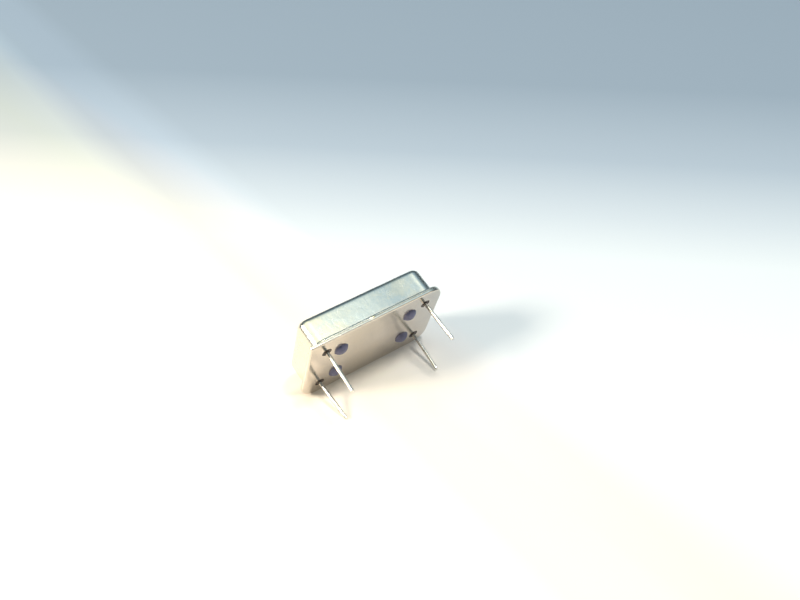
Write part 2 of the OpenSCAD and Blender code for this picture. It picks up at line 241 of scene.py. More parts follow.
# ---- Lights ---------------------------------------------------------------------------------
# A small lamp overhead and a soft warm light low on the left, in a room that is pale above and dark
# low down. For the metal to mirror it has a warm bright place overhead, which other rays see only in
# part, and one low in front, which they don't see at all.
OTHER_RAYS = 0.35
OVERHEAD_GLOW = (1.12, 0.93, 0.46, 1)
FRONT_GLOW = (3.6, 3.2, 2.5, 1)
ROOM_TONES = ((0, (0.13, 0.16, 0.18)), (0.3, (0.13, 0.17, 0.20)), (0.6, (0.21, 0.29, 0.34)),
              (0.78, (0.27, 0.39, 0.47)), (0.9, (0.42, 0.59, 0.71)), (1, (0.48, 0.65, 0.77)))
# Each is where it starts and where it is full, as the cosine of the angle from its middle
OVERHEAD_SPAN = (0.815, 0.95)
FRONT_SPAN = (0.92, 0.98)
# Each is such a span, then the strength of the room at its start and at its end
DIM_IN_FRONT = (0.15, 0.55, 1, 0.3)
DIM_BEHIND = (0.15, 0.42, 1, 0.65)


def lamp(name, toward, distance, size, share, colour):
    """A round lamp in that direction from the part. share is the part of the floor's light it gives."""
    toward = toward.normalized()
    light = bpy.data.lights.new(name, "AREA")
    light.shape = "DISK"
    light.size = size
    light.color = colour
    light.energy = share * (math.pi * distance) ** 2 / toward.dot(floor_up)
    made = bpy.data.objects.new(name, light)
    facing = toward.to_track_quat("Z", "Y").to_matrix().to_4x4()
    made.matrix_world = Matrix.Translation(toward * distance) @ facing
    scene.collection.objects.link(made)


lamp("overhead_lamp", floor_up + 0.19 * along - 0.25 * behind, distance=1.0, size=0.19, share=0.41,
     colour=(1, 0.955, 0.89))
lamp("left_softbox", 0.54 * floor_up - 0.81 * along + 0.22 * behind, distance=0.6, size=0.15, share=0.44,
     colour=(1, 0.88, 0.74))

world = bpy.data.worlds.new("room")
world.use_nodes = True
scene.world = world
room = world.node_tree
sight = add(room, "TexCoord").outputs["Generated"]


def facing_share(direction, start, end, least=0, most=1):
    """A value that goes from least to most as the line of sight turns toward a direction."""
    turn = gauge(room, "DOT_PRODUCT", sight, direction)
    return spread(room, turn, start, end, least, most, interpolation_type="SMOOTHSTEP")


glossy_ray = add(room, "LightPath").outputs["Is Glossy Ray"]
walls = ramp(room, facing_share(floor_up, 0, 1), *ROOM_TONES)
overhead = (floor_up - 0.12 * along + 0.05 * behind).normalized()
ray_share = reckon(room, "MULTIPLY_ADD", glossy_ray, 1 - OTHER_RAYS, OTHER_RAYS)
overhead_share = reckon(room, "MULTIPLY", facing_share(overhead, *OVERHEAD_SPAN), ray_share)
halo = mix_colours(room, "ADD", overhead_share, walls, OVERHEAD_GLOW)
low_front = (0.30 * floor_up + 0.42 * along - 0.85 * behind).normalized()
front_share = reckon(room, "MULTIPLY", facing_share(low_front, *FRONT_SPAN), glossy_ray)
front = mix_colours(room, "ADD", front_share, halo, FRONT_GLOW)
dimmed = reckon(room, "MULTIPLY", facing_share(-behind, *DIM_IN_FRONT), facing_share(behind, *DIM_BEHIND))
room.links.new(front, room.nodes["Background"].inputs["Color"])
room.links.new(dimmed, room.nodes["Background"].inputs["Strength"])

# ---- Can cover ------------------------------------------------------------------------------
# One piece of steel sheet, drawn into a can with a rounded crown and a flat flange, and plated
# with satin nickel. Drawing leaves its walls and top a little bowed and rippled.
SHEET_T = 0.3 * MM
CORNER_R = 1.35 * MM
CROWN_R = 0.8 * MM
FOOT_R = 0.15 * MM
FLANGE_OUT = 0.8 * MM
RIM_T = 0.45 * MM
SHEAR_R = 0.2 * MM
SEAM_R = 0.07 * MM
# Rings of points this far inside a bend, which keep the flat beside it flat to the eye
CROWN_FLAT = 0.1 * MM
FOOT_FLAT = 0.08 * MM
SHEAR_FLAT = 0.05 * MM
# The long walls bow out, with a hollow toward the +X end and a slight ridge past it
BOW = 0.05 * MM
HOLLOW = 0.05 * MM
HOLLOW_X = 5.3 * MM
HOLLOW_REACH = 2.4 * MM
RIDGE = 0.026 * MM
RIDGE_X = 7.95 * MM
RIDGE_REACH = 0.33 * MM
RIPPLE = 0.006 * MM
RIPPLES_PER_M = 450
CORNER_STEPS = 12
RUN_STEPS = 80
WALL_ROWS = 12
LID_CUTS = 20
SHARP_DEGREES = 40
MERGE = 0.002 * MM
SAME_HEIGHT = 0.001 * MM

can_low, can_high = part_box("can_cover")
corner_x = can_high.x - FLANGE_OUT - CORNER_R
corner_y = can_high.y - FLANGE_OUT - CORNER_R
ROUND_CORNERS = [Vector((corner_x, corner_y, 0)), Vector((-corner_x, corner_y, 0)),
                 Vector((-corner_x, -corner_y, 0)), Vector((corner_x, -corner_y, 0))]
across = Vector((0, 1, 0))


def arc(reach, z, radius, start, end, steps=6):
    """Points of a section on an arc, from one angle to another, in degrees from the outward direction."""
    turns = [math.radians(start + (end - start) * k / steps) for k in range(steps + 1)]
    return [(reach + radius * math.cos(t), z + radius * math.sin(t)) for t in turns]


def chain(bm, points, start):
    """The section's points joined by edges, standing out along X from start."""
    verts = [bm.verts.new(start + Vector((reach, 0, z))) for reach, z in points]
    return [bm.edges.new(pair) for pair in zip(verts, verts[1:])]


def only_verts(geom):
    """The points in a mix of points, edges and faces."""
    return [g for g in geom if isinstance(g, bmesh.types.BMVert)]


def between(geom):
    """The edges in a mix of points, edges and faces whose two ends are both in it."""
    verts = set(only_verts(geom))
    return [g for g in geom if isinstance(g, bmesh.types.BMEdge) and set(g.verts) <= verts]


def sweep(bm, section, corners):
    """Carries a section round the outline: a straight run, then a quarter turn about each corner's axis."""
    travel = Vector((0, 1, 0))
    last = corners[-1]
    for corner in corners:
        step = travel * travel.dot(corner - last) / RUN_STEPS
        for _ in range(RUN_STEPS):
            drawn = bmesh.ops.extrude_edge_only(bm, edges=section)["geom"]
            bmesh.ops.translate(bm, verts=only_verts(drawn), vec=step)
            section = between(drawn)
        ends = list({v for e in section for v in e.verts})
        quarter = bmesh.ops.spin(bm, geom=section + ends, cent=corner, axis=(0, 0, 1),
                                 angle=math.pi / 2, steps=CORNER_STEPS)["geom_last"]
        section = between(quarter)
        travel = Vector((-travel.y, travel.x, 0))
        last = corner
    bmesh.ops.remove_doubles(bm, verts=bm.verts, dist=MERGE)


def finish_piece(name, bm, material, slot, *nodes):
    """Makes the mesh an object that rides on the part's body and stands for its CAD nodes."""
    bmesh.ops.recalc_face_normals(bm, faces=bm.faces)
    made = bpy.data.objects.new(name, bpy.data.meshes.new(name))
    bm.to_mesh(made.data)
    bm.free()
    made.data.shade_smooth()
    made.data.set_sharp_from_angle(angle=math.radians(SHARP_DEGREES))
    made.data.materials.append(material)
    scene.collection.objects.link(made)
    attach(made, "root")
    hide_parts(*nodes)


def smooth(value):
    """A soft step from 0 to 1."""
    value = min(1, max(0, value))
    return value * value * (3 - 2 * value)


def outward(place):
    """The direction out of the outline at that place, or no direction over the flat middle."""
    past_x = math.copysign(max(0, abs(place.x) - corner_x), place.x)
    past_y = math.copysign(max(0, abs(place.y) - corner_y), place.y)
    return Vector((past_x, past_y, 0)).normalized()


def wall_rows(reach, rows):
    """Points of a section up or down the straight part of the wall."""
    return [(reach, wall_foot + (wall_top - wall_foot) * k / WALL_ROWS) for k in rows]


wall_top = can_high.z - CROWN_R
flange_top = RIM_T + SHEET_T
edge_out = CORNER_R + FLANGE_OUT
wall_foot = flange_top + FOOT_R
foot_out = CORNER_R + FOOT_R
crown_in = CORNER_R - CROWN_R
bm = bmesh.new()
section = [(crown_in - CROWN_FLAT, can_high.z)]
section += arc(crown_in, wall_top, CROWN_R, 90, 0, steps=10)
section += wall_rows(CORNER_R, range(WALL_ROWS - 1, 0, -1))
section += arc(foot_out, wall_foot, FOOT_R, 180, 270, steps=5)
section += [(foot_out + FOOT_FLAT, flange_top), (edge_out - SHEAR_R - SHEAR_FLAT, flange_top)]
section += arc(edge_out - SHEAR_R, flange_top - SHEAR_R, SHEAR_R, 90, 0, steps=6)
section += arc(edge_out - SEAM_R, RIM_T + SEAM_R, SEAM_R, 0, -90, steps=4)
section += [(foot_out + FOOT_FLAT, RIM_T)]
section += arc(foot_out, wall_foot, FOOT_R + SHEET_T, 270, 180, steps=4)
section += wall_rows(CORNER_R - SHEET_T, range(1, WALL_ROWS))
section += arc(crown_in, wall_top, CROWN_R - SHEET_T, 0, 90, steps=6)
section += [(crown_in - CROWN_FLAT, can_high.z - SHEET_T)]
sweep(bm, chain(bm, section, ROUND_CORNERS[-1]), ROUND_CORNERS)

# The top and its inner face close the sweep, cut into a grid so that they can bow and ripple
lids = bmesh.ops.holes_fill(bm, edges=[e for e in bm.edges if e.is_boundary], sides=0)["faces"]
for lid in lids:
    lid.normal_update()
    height = lid.verts[0].co.z
    faces = [lid]
    for axis, half in ((along, corner_x), (across, corner_y)):
        for k in range(1, LID_CUTS):
            cut_at = axis * (half * (2 * k / LID_CUTS - 1))
            near = list({g for f in faces for g in (f, *f.edges, *f.verts)})
            bmesh.ops.bisect_plane(bm, geom=near, plane_co=cut_at, plane_no=axis)
            faces = [f for f in bm.faces if all(abs(v.co.z - height) < SAME_HEIGHT for v in f.verts)]
for v in bm.verts:
    side = outward(v.co)
    rise = smooth((v.co.z - flange_top) / FOOT_R)
    crowned = smooth((v.co.z - wall_top) / CROWN_R)
    long_way = 1 - (v.co.x / can_high.x) ** 2
    hollow = math.exp(-((v.co.x - HOLLOW_X) / HOLLOW_REACH) ** 2)
    ridge = math.exp(-((v.co.x - RIDGE_X) / RIDGE_REACH) ** 2)
    rippled = RIPPLE * noise.noise(v.co * RIPPLES_PER_M)
    bowed = (BOW * long_way - HOLLOW * hollow + RIDGE * ridge) * side.y ** 2
    v.co += side * (rippled + bowed * (1 - crowned)) * rise
    v.co.z += crowned * (rippled - BOW / 2 * (1 - long_way * (1 - (v.co.y / can_high.y) ** 2)))


def new_group(name, ins, outs):
    """An empty shader node group with named sockets, its input node and its output node."""
    made = bpy.data.node_groups.new(name, "ShaderNodeTree")
    for label, kind, value in ins:
        socket = made.interface.new_socket(label, in_out="INPUT", socket_type="NodeSocket" + kind)
        if value is not None:
            socket.default_value = value
    for label, kind in outs:
        made.interface.new_socket(label, in_out="OUTPUT", socket_type="NodeSocket" + kind)
    return made, made.nodes.new("NodeGroupInput").outputs, made.nodes.new("NodeGroupOutput").inputs


def use(tree, group, **values):
    """The group as a node in a material, with its values set and object coordinates as its place."""
    node = tree.nodes.new("ShaderNodeGroup")
    node.node_tree = group
    tree.links.new(here(tree), node.inputs["Place"])
    for name, value in values.items():
        node.inputs[name.replace("_", " ")].default_value = value
    return node.outputs


def speckle(tree, place, scale, **settings):
    """Soft noise at a place, with that many grains to the metre or so."""
    return add(tree, "TexNoise", Vector=place, Scale=scale, **settings).outputs["Fac"]


# Plating: clouds of two tones with finer mottling inside them, and a third tone in patches, whose
# noise is read some way off so that the patches don't follow the clouds
PATCHES_OFF = (0.031, 0.017, 0.023)
PATCH_FADE = 0.14
CLOUD_CONTRAST = (0.35, 0.65)

plating_clouds, ins, outs = new_group(
    "plating_clouds",
    [("Place", "Vector", None), ("Light", "Color", (0.8, 0.8, 0.8, 1)),
     ("Dark", "Color", (0.6, 0.6, 0.6, 1)), ("Tarnish", "Color", (0.7, 0.6, 0.4, 1)),
     ("Tarnish Share", "Float", 0.0), ("Tarnish Start", "Float", 0.48), ("Cloud Size", "Float", 700.0),
     ("Mottle Size", "Float", 4000.0), ("Mottle Share", "Float", 0.45)],
    [("Color", "Color"), ("Mask", "Float")])
tree = plating_clouds
clouds = speckle(tree, ins["Place"], ins["Cloud Size"], Detail=3.0, Roughness=0.55)
mottle = speckle(tree, ins["Place"], ins["Mottle Size"], Detail=2.0, Roughness=0.6)
both = add(tree, "Mix", data_type="FLOAT", Factor=ins["Mottle Share"], A=clouds, B=mottle)
light_mask = spread(tree, both.outputs["Result"], *CLOUD_CONTRAST)
two_tones = mix_colours(tree, "MIX", light_mask, ins["Dark"], ins["Light"])
elsewhere = add(tree, "VectorMath", operation="ADD")
elsewhere.inputs[1].default_value = PATCHES_OFF
tree.links.new(ins["Place"], elsewhere.inputs[0])
patches = speckle(tree, elsewhere.outputs["Vector"], ins["Cloud Size"], Detail=4.0, Roughness=0.65)
patch_full = reckon(tree, "ADD", ins["Tarnish Start"], PATCH_FADE)
patched = spread(tree, patches, ins["Tarnish Start"], patch_full)
tarnished = reckon(tree, "MULTIPLY", patched, ins["Tarnish Share"])
tree.links.new(mix_colours(tree, "MIX", tarnished, two_tones, ins["Tarnish"]), outs["Color"])
tree.links.new(light_mask, outs["Mask"])

# Handling: short straight scratches, as parts of the edges between long cells, kept only in the
# patches where a slow noise is high
PATCH_EDGE = (0.54, 0.64)

handling, ins, outs = new_group(
    "handling_scratches",
    [("Place", "Vector", None), ("Size", "Float", 700.0), ("Width", "Float", 0.025),
     ("Turn", "Vector", (0.2, 0.5, 0.6)), ("Stretch", "Vector", (1, 0.14, 0.6)),
     ("Patch Size", "Float", 600.0)],
    [("Mask", "Float")])
tree = handling
laid = add(tree, "Mapping", Vector=ins["Place"], Rotation=ins["Turn"], Scale=ins["Stretch"])
cells = add(tree, "TexVoronoi", feature="DISTANCE_TO_EDGE", Vector=laid.outputs["Vector"], Scale=ins["Size"])
line = spread(tree, cells.outputs["Distance"], 0, ins["Width"], 1, 0)
kept = spread(tree, speckle(tree, ins["Place"], ins["Patch Size"], Detail=2.0), *PATCH_EDGE)
tree.links.new(reckon(tree, "MULTIPLY", line, kept), outs["Mask"])

# Rubbing: the outer edges, where a rounded normal turns away from the true one. The two cosines are
# where it starts and where it is full.
RUB_TURN = (0.99, 0.85)
RUB_GAIN = 1.8

edge_rub, ins, outs = new_group(
    "edge_rub",
    [("Place", "Vector", None), ("Reach", "Float", 0.1 * MM), ("Breaks", "Float", 3000.0)],
    [("Mask", "Float")])
tree = edge_rub
rounded = add(tree, "Bevel", samples=4, Radius=ins["Reach"]).outputs["Normal"]
true_normal = add(tree, "NewGeometry").outputs["Normal"]
edge = spread(tree, gauge(tree, "DOT_PRODUCT", rounded, true_normal), *RUB_TURN)
broken = reckon(tree, "MULTIPLY", edge, speckle(tree, ins["Place"], ins["Breaks"], Detail=2.0))
tree.links.new(reckon(tree, "MULTIPLY", broken, RUB_GAIN, use_clamp=True), outs["Mask"])

# Grain: the height of a satin surface, a fine tooth over slow waves
satin_grain, ins, outs = new_group(
    "satin_grain",
    [("Place", "Vector", None), ("Tooth Size", "Float", 9000.0), ("Wave Size", "Float", 500.0),
     ("Tooth Share", "Float", 0.25)],
    [("Height", "Float")])
tree = satin_grain
waves = speckle(tree, ins["Place"], ins["Wave Size"], Detail=2.0)
tooth = speckle(tree, ins["Place"], ins["Tooth Size"], Detail=3.0, Roughness=0.7)
relief = add(tree, "Mix", data_type="FLOAT", Factor=ins["Tooth Share"], A=waves, B=tooth)
tree.links.new(relief.outputs["Result"], outs["Height"])

# Crease band: a band along a crease that runs round the part at one height, thicker in places. On the
# can it is painted shade, on the header a painted highlight. The three numbers are the noise where it
# is thin and where it is full, and the share left where it is thin.
BAND_GRAINS = 900.0
BAND_UNEVEN = (0.3, 0.6, 0.4)

crease_band, ins, outs = new_group(
    "crease_band",
    [("Place", "Vector", None), ("Level", "Float", 0.8 * MM), ("Reach", "Float", 0.1 * MM),
     ("Share", "Float", 0.5)],
    [("Mask", "Float")])
tree = crease_band
height = add(tree, "SeparateXYZ", Vector=ins["Place"]).outputs["Z"]
distance = reckon(tree, "ABSOLUTE", reckon(tree, "SUBTRACT", height, ins["Level"]))
near = spread(tree, distance, 0, ins["Reach"], 1, 0, interpolation_type="SMOOTHSTEP")
thick = speckle(tree, ins["Place"], BAND_GRAINS, Detail=3.0, Roughness=0.6)
uneven = spread(tree, thick, *BAND_UNEVEN)
banded = reckon(tree, "MULTIPLY", near, uneven)
tree.links.new(reckon(tree, "MULTIPLY", banded, ins["Share"]), outs["Mask"])

SCRATCH_ROUGH = 0.06
# Painted shade in a crease: its dark colour and the roughness it adds
CREASE_SHADE = (0.10, 0.10, 0.09)
CREASE_SHADE_ROUGH = 0.3


def over(tree, mask, colour, top):
    """Lays the top colour over another colour where the mask is 1."""
    return mix_colours(tree, "MIX", mask, colour, (*top, 1))


def plus(tree, mask, amount, base):
    """Base, with the amount added where the mask is 1."""
    return reckon(tree, "MULTIPLY_ADD", mask, amount, base, use_clamp=True)


def in_relief(tree, shader, wave, depth):
    """Gives the surface its satin grain, with waves of that size and a relief of that depth."""
    relief = add(tree, "Bump", Strength=1.0, Distance=depth,
                 Height=use(tree, satin_grain, Wave_Size=wave)["Height"])
    tree.links.new(relief.outputs["Normal"], shader.inputs["Normal"])


def plated(name, light, dark, tarnish, wear_and_highlight, smoothest, roughest, cloud=700.0, mottle=4000.0, share=0.5,
           start=0.48, crease_shade=(0, 0, 0), burnish_and_highlight=(0, 0, 0), rub=0.1 * MM, depth=0.01 * MM, wave=500.0):
    """A plated metal: clouds of two tones with patches of tarnish, worn edges, scratches and a grain.
    crease_shade and burnish_and_highlight are each the height of a crease, how far from it they reach,
    and how strongly: the first lays a dark band of painted shade along it, the second a bright band of
    painted highlight over burnished wear."""
    made, tree, shader = new_tree(name)
    shader.inputs["Metallic"].default_value = 1.0
    tones = use(tree, plating_clouds, Light=(*light, 1), Dark=(*dark, 1), Tarnish=(*tarnish, 1),
                Tarnish_Share=share, Tarnish_Start=start, Cloud_Size=cloud, Mottle_Size=mottle)
    colour = over(tree, use(tree, edge_rub, Reach=rub)["Mask"], tones["Color"], wear_and_highlight)
    smoothed = spread(tree, tones["Mask"], least=roughest, most=smoothest)
    rough = plus(tree, use(tree, handling)["Mask"], SCRATCH_ROUGH, smoothed)
    # Painted highlight: a bright band of the wear colour along the crease, over burnished wear
    level, reach, most = burnish_and_highlight
    if most:
        highlight_band = use(tree, crease_band, Level=level, Reach=reach, Share=most)["Mask"]
        colour = over(tree, highlight_band, colour, wear_and_highlight)
    # Painted shade: a dark band along the crease, a little rougher
    level, reach, most = crease_shade
    if most:
        crease_shaded = use(tree, crease_band, Level=level, Reach=reach, Share=most)["Mask"]
        colour = over(tree, crease_shaded, colour, CREASE_SHADE)
        rough = plus(tree, crease_shaded, CREASE_SHADE_ROUGH, rough)
    tree.links.new(colour, shader.inputs["Base Color"])
    tree.links.new(rough, shader.inputs["Roughness"])
    in_relief(tree, shader, wave, depth)
    return made


# The dark band at the foot of the wall is painted shade in the crease above the flange
can_nickel = plated("can_nickel", light=(0.75, 0.76, 0.69), dark=(0.60, 0.665, 0.655),
                    tarnish=(0.81, 0.765, 0.62), wear_and_highlight=(0.86, 0.86, 0.80), smoothest=0.22, roughest=0.29,
                    cloud=380.0, mottle=3500.0, share=0.7, start=0.45, wave=1400.0, depth=0.014 * MM,
                    crease_shade=(flange_top + 0.23 * MM, 0.32 * MM, 0.4))
finish_piece("drawn_can", bm, can_nickel, "can_cover", "can_cover")

# ---- Header plate ---------------------------------------------------------------------------
# A pressed steel plate, plated, that closes the can. It has a hole for each lead, a thicker
# middle inside the can, a rolled lower edge, and one square corner that marks lead 1.
HEADER_GAP = 0.1 * MM
MARK_R = 0.3 * MM
EDGE_FLAT = 0.06 * MM
SEAL_R = 0.7 * MM
LEADS = (1, 7, 8, 14)
ROUND_STEPS = 48

mark_corner = Vector((header_low.x + MARK_R, header_low.y + MARK_R, 0))
rim_corners = [ROUND_CORNERS[0], ROUND_CORNERS[1], mark_corner, ROUND_CORNERS[3]]


def middle(node):
    """The point on the header's underside that a CAD node stands over."""
    low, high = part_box(node)
    return Vector(((low.x + high.x) / 2, (low.y + high.y) / 2, 0))


def round_hole(bm, centre, radius, z):
    """A ring of edges round a point, at that height."""
    ring = bmesh.ops.create_circle(bm, segments=ROUND_STEPS, radius=radius,
                                   matrix=Matrix.Translation(centre + Vector((0, 0, z))))
    return list({e for v in ring["verts"] for e in v.link_edges})


def border(bm, z):
    """The open edges at that height."""
    return [e for e in bm.edges if e.is_boundary and all(abs(v.co.z - z) < SAME_HEIGHT for v in e.verts)]


bm = bmesh.new()
section = [(edge_out - RIM_EDGE_R - EDGE_FLAT, 0)]
section += arc(edge_out - RIM_EDGE_R, RIM_EDGE_R, RIM_EDGE_R, -90, 0, steps=6)
section += arc(edge_out - SEAM_R, RIM_T - SEAM_R, SEAM_R, 0, 90, steps=4)
sweep(bm, chain(bm, section, rim_corners[-1]), rim_corners)
under = border(bm, 0)
holes_under = [e for n in LEADS for e in round_hole(bm, middle(f"glass_seal_{n}"), SEAL_R, 0)]
bmesh.ops.triangle_fill(bm, use_beauty=True, edges=under + holes_under)
holes_top = bmesh.ops.extrude_edge_only(bm, edges=holes_under)["geom"]
bmesh.ops.translate(bm, verts=only_verts(holes_top), vec=(0, 0, header_high.z))
inner_out = CORNER_R - SHEET_T - HEADER_GAP
section = [(inner_out, RIM_T), (inner_out, header_high.z)]
sweep(bm, chain(bm, section, ROUND_CORNERS[-1]), ROUND_CORNERS)
bmesh.ops.triangle_fill(bm, use_beauty=True, edges=border(bm, RIM_T))
bmesh.ops.triangle_fill(bm, use_beauty=True, edges=border(bm, header_high.z))

# The bright band round the rim's side is a painted highlight over burnished wear
header_plating = plated("header_plating", light=(0.69, 0.635, 0.575), dark=(0.63, 0.575, 0.52),
                        tarnish=(0.72, 0.64, 0.53), wear_and_highlight=(0.97, 0.92, 0.78), smoothest=0.16, roughest=0.22,
                        cloud=500.0, mottle=3000.0, share=0.3, depth=0.006 * MM,
                        burnish_and_highlight=(0.3 * MM, 0.26 * MM, 1.0), rub=0.2 * MM)
finish_piece("header", bm, header_plating, "header_plate", "header_plate")

# ---- Weld seam ------------------------------------------------------------------------------
# The can's flange is resistance welded to the header all round. Metal that the weld squeezed out
# has set in the groove between them as a thin uneven bead, scorched where the current was highest.
FLASH_R = 0.09 * MM
FLASH_SPREAD = 0.03 * MM
FLASH_SINK = 0.05 * MM
# Each is a size of lump: its share, and how many there are to the metre or so
FLASH_LUMPS = ((0.9, 600), (0.5, 2200))
# From here toward +X the bead sinks into the groove, and after this run it lies at its deepest
SINK_START = -1 * MM
SINK_RUN = 3 * MM
BLOB = Vector((-0.95 * MM, header_low.y, RIM_T))
BLOB_REACH = 0.62 * MM
BLOB_RISE = 0.09 * MM
BLOB_SWELL = 1.2
# Painted highlight: the colour that brightens the lump
BLOB_HIGHLIGHT = (0.97, 0.91, 0.64)
# Each is a place along the -Y side and its reach
SCORCHES = ((0.6 * MM, 1.1 * MM), (3.9 * MM, 0.5 * MM))
SCORCHED = (0.13, 0.09, 0.06)

bm = bmesh.new()
section = arc(edge_out - FLASH_R, RIM_T, FLASH_R, -180, 180, steps=14)
sweep(bm, chain(bm, section, rim_corners[-1]), rim_corners)
for v in bm.verts:
    lump = sum(share * noise.noise(v.co * grains) for share, grains in FLASH_LUMPS)
    blob = smooth(1 - (v.co - BLOB).length / BLOB_REACH)
    sunk = smooth((v.co.x - SINK_START) / SINK_RUN)
    v.co += outward(v.co) * ((FLASH_SPREAD * lump - FLASH_SINK * sunk) * (1 - blob) + BLOB_RISE * blob)
    v.co.z += blob * BLOB_SWELL * (v.co.z - RIM_T)


def near_spot(tree, spot, reach, whole=0):
    """A mask that is 1 round one place on the part, as far as whole, and fades to 0 at its reach."""
    away = gauge(tree, "DISTANCE", here(tree), spot)
    return spread(tree, away, whole, reach, 1, 0, interpolation_type="SMOOTHSTEP")


weld_flash, tree, shader = new_tree("weld_flash")
shader.inputs["Metallic"].default_value = 1.0
tones = use(tree, plating_clouds, Light=(0.86, 0.80, 0.66, 1), Dark=(0.60, 0.54, 0.43, 1),
            Tarnish=(0.20, 0.14, 0.09, 1), Tarnish_Share=0.95, Tarnish_Start=0.53,
            Cloud_Size=420.0, Mottle_Size=2500.0)
colour = tones["Color"]
for place, reach in SCORCHES:
    scorch = near_spot(tree, Vector((place, header_low.y, RIM_T)), reach)
    colour = over(tree, scorch, colour, SCORCHED)
# Painted highlight over the lump
colour = over(tree, near_spot(tree, BLOB, BLOB_REACH), colour, BLOB_HIGHLIGHT)
tree.links.new(colour, shader.inputs["Base Color"])
tree.links.new(spread(tree, tones["Mask"], least=0.45, most=0.25), shader.inputs["Roughness"])
finish_piece("weld_seam", bm, weld_flash, "header_plate")

# ---- Leads ----------------------------------------------------------------------------------
# Round wire of a nickel-iron alloy, tinned below the header. Handling has bent three of them a
# little, so each tip stands off the line of its root by the millimetres in BENDS, along and across.
LEAD_R = 0.24 * MM
WIRE_R = 0.23 * MM
TIP_FLAT = 0.03 * MM
WIRE_STEP = 0.01 * MM
LEAD_ROWS = 12
BEND_POWER = 1.4
AXIS_MERGE = 0.0005 * MM
BENDS = {1: (-0.28, -0.25), 7: (0.03, 0.04), 8: (-0.42, -0.06), 14: (0.22, 0.04)}


def turned(bm, points, centre, steps=40):
    """Spins a section of (radius, height) points about the upright axis through centre."""
    edges = chain(bm, points, centre)
    bmesh.ops.spin(bm, geom=edges + list(bm.verts), cent=centre, axis=(0, 0, 1),
                   angle=2 * math.pi, steps=steps, use_merge=True)
    bmesh.ops.remove_doubles(bm, verts=bm.verts, dist=AXIS_MERGE)


lead_tin = plated("lead_tin", light=(0.84, 0.83, 0.78), dark=(0.70, 0.69, 0.64), tarnish=(0.76, 0.72, 0.62),
                  wear_and_highlight=(0.9, 0.9, 0.86), smoothest=0.2, roughest=0.32, cloud=1500.0, mottle=8000.0,
                  share=0.4, depth=0.004 * MM)
for n in LEADS:
    low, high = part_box(f"lead_{n}")
    bm = bmesh.new()
    section = [(0, low.z), (LEAD_R - TIP_R - TIP_FLAT, low.z)]
    section += arc(LEAD_R - TIP_R, low.z + TIP_R, TIP_R, -90, 0, steps=5)
    section += [(LEAD_R, low.z * k / LEAD_ROWS) for k in range(LEAD_ROWS - 1, 0, -1)]
    section += [(LEAD_R, 0), (WIRE_R, WIRE_STEP), (WIRE_R, high.z), (0, high.z)]
    turned(bm, section, middle(f"glass_seal_{n}"))
    bend = Vector((*BENDS[n], 0)) * MM
    for v in bm.verts:
        v.co += bend * max(0, v.co.z / low.z) ** BEND_POWER
    finish_piece(f"wire_lead_{n}", bm, lead_tin, "lead", f"lead_{n}")

# ---- Glass seals ----------------------------------------------------------------------------
# A ring of dark glass fused between each lead and the plate. Surface tension leaves it hollow
# on the underside, and it creeps a little way along the wire.
CREEP = 0.1 * MM
HOLLOW_DEEP = 0.05 * MM
SEAL_FOOT = 0.1 * MM
SEAL_STEPS = 10


def fired(name, light, dark, smoothest, roughest, cloud, mottle, depth, **finish):
    """A fused or fired finish, mottled in two tones with a little relief, and its tree, shader and colour.
    finish gives plain values for other sockets of the shader."""
    made, tree, shader = new_tree(name)
    for label, value in finish.items():
        shader.inputs[label.replace("_", " ")].default_value = value
    tones = use(tree, plating_clouds, Light=(*light, 1), Dark=(*dark, 1),
                Cloud_Size=cloud, Mottle_Size=mottle)
    smoothed = spread(tree, tones["Mask"], least=roughest, most=smoothest)
    rough = plus(tree, use(tree, handling)["Mask"], SCRATCH_ROUGH, smoothed)
    tree.links.new(rough, shader.inputs["Roughness"])
    tree.links.new(tones["Color"], shader.inputs["Base Color"])
    in_relief(tree, shader, cloud, depth)
    return made, tree, shader, tones["Color"]


def hollow_under(k):
    """The radius and height of the seal's underside, that many steps out from the wire."""
    out = k / SEAL_STEPS
    dip = HOLLOW_DEEP * (1 - (2 * out - 1) ** 2)
    return LEAD_R + (SEAL_R - LEAD_R) * k / SEAL_STEPS, dip - CREEP * (1 - out) ** 4


seal_glass, *_ = fired("seal_glass", light=(0.07, 0.042, 0.026), dark=(0.03, 0.02, 0.014), smoothest=0.27,
                       roughest=0.33, cloud=2500.0, mottle=9000.0, depth=0.004 * MM, IOR=1.52,
                       Specular_IOR_Level=0.3)
for n in LEADS:
    low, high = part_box(f"glass_seal_{n}")
    bm = bmesh.new()
    section = [hollow_under(k) for k in range(SEAL_STEPS + 1)]
    section += [(SEAL_R, high.z), (WIRE_R, high.z), (WIRE_R, SEAL_FOOT)]
    section += [section[0]]
    turned(bm, section, middle(f"glass_seal_{n}"), steps=ROUND_STEPS)
    finish_piece(f"seal_ring_{n}", bm, seal_glass, "seal_glass", f"glass_seal_{n}")

# ---- Standoff beads -------------------------------------------------------------------------
# Four domes of dark blue glass fused to the underside, which hold the header off the board.
BEAD_R = 1.02 * MM

bead_glass, *_ = fired("bead_glass", light=(0.20, 0.205, 0.33), dark=(0.135, 0.137, 0.24), smoothest=0.22,
                       roughest=0.30, cloud=1800.0, mottle=7000.0, depth=0.008 * MM, IOR=1.52,
                       Specular_IOR_Level=0.3)
for n in LEADS:
    low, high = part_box(f"standoff_bead_{n}")
    bm = bmesh.new()
    depth = -low.z
    dome_r = (BEAD_R ** 2 + depth ** 2) / (2 * depth)
    half = math.degrees(math.asin(BEAD_R / dome_r))
    section = arc(0, dome_r - depth, dome_r, -90, half - 90, steps=14) + [(0, 0)]
    turned(bm, section, middle(f"standoff_bead_{n}"), steps=ROUND_STEPS)
    finish_piece(f"glass_bead_{n}", bm, bead_glass, "bead_glass", f"standoff_bead_{n}")

